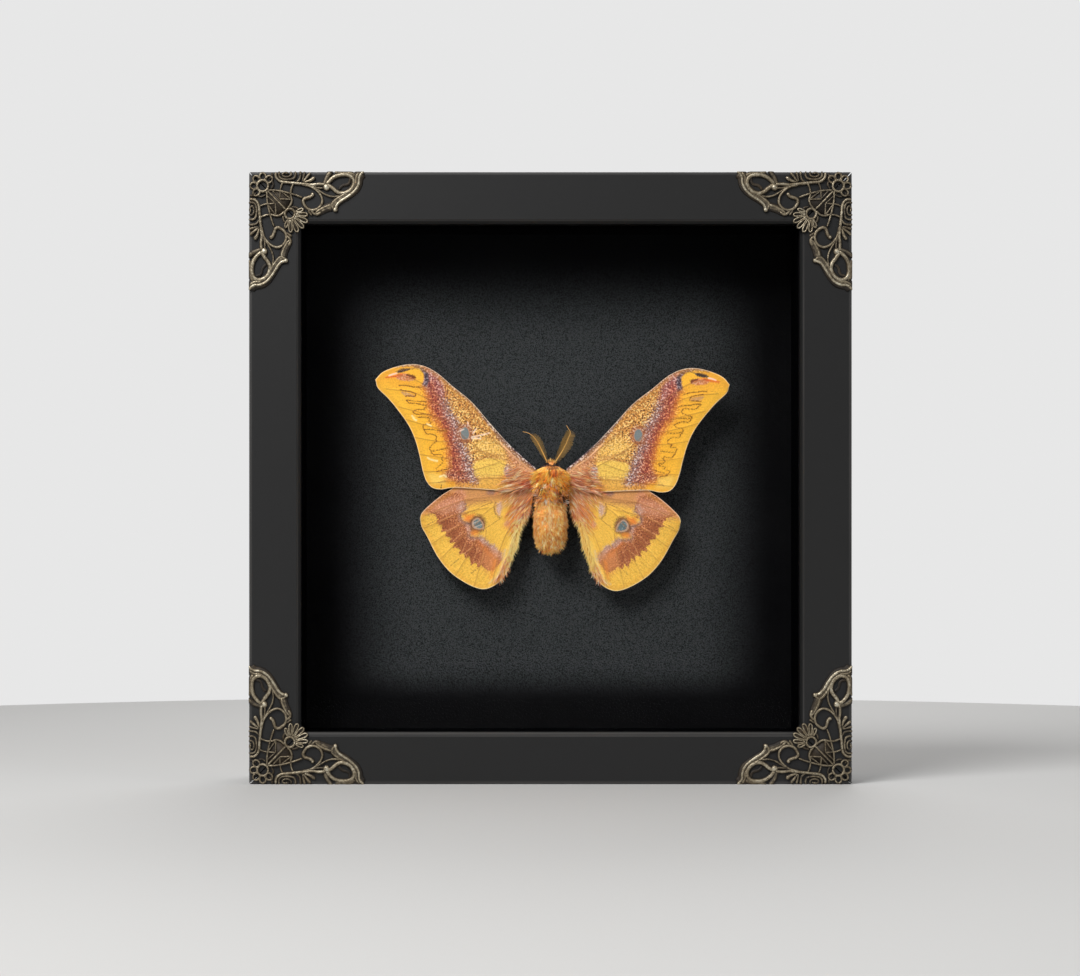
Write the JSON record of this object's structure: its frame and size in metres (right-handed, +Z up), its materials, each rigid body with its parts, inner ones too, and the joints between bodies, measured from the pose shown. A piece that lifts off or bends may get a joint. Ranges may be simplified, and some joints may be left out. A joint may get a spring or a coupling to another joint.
{
  "type": "framed silk moth specimen",
  "caption": "Mounted yellow silk moth with spread wings in a black glazed shadow box frame with antique brass filigree corners; stands on its flat base or hangs.",
  "frame": {"origin": "bottom centre of the whole object's box, on the surface that the frame stands on", "axes": "+Z up along the moth's body, front glass facing -Y, +X to the right seen from the front"},
  "size_m": [0.16, 0.031, 0.1625],
  "materials": {
    "black_rail": "black satin foil over fibreboard",
    "antique_brass": "antique brass casting, dull pale highs and dark recesses",
    "glass": "clear float glass",
    "black_spacer": "matt black board",
    "grained_paper": "black leather-grain paper with a soft sheen",
    "fibreboard": "raw brown fibreboard",
    "steel": "bright steel",
    "moth_fur": "dense orange-tan fur",
    "forewing_scales": "matt scaled wing, yellow and golden with a red-brown band",
    "hindwing_scales": "matt scaled wing, yellow with a red-brown band",
    "antenna": "dull olive-brown horn"
  },
  "bodies": {
    "root": {"frame_rail_bottom": "black_rail", "frame_rail_left": "black_rail", "frame_rail_top": "black_rail", "frame_rail_right": "black_rail", "corner_casting_bottom_left": "antique_brass", "corner_casting_bottom_right": "antique_brass", "corner_casting_top_left": "antique_brass", "corner_casting_top_right": "antique_brass", "glass_pane": "glass", "spacer_strip_bottom": "black_spacer", "spacer_strip_left": "black_spacer", "spacer_strip_top": "black_spacer", "spacer_strip_right": "black_spacer", "mount_board": "grained_paper", "backing_board": "fibreboard", "backing_tab_bottom_1": "steel", "backing_tab_bottom_2": "steel", "backing_tab_left_1": "steel", "backing_tab_left_2": "steel", "backing_tab_top_1": "steel", "backing_tab_top_2": "steel", "backing_tab_right_1": "steel", "backing_tab_right_2": "steel", "sawtooth_hanger": "steel", "hanger_nail_1": "steel", "hanger_nail_2": "steel", "moth_body": "moth_fur", "forewing_left": "forewing_scales", "forewing_right": "forewing_scales", "hindwing_left": "hindwing_scales", "hindwing_right": "hindwing_scales", "antenna_left": "antenna", "antenna_right": "antenna", "pin": "steel"}
  },
  "joints": []
}
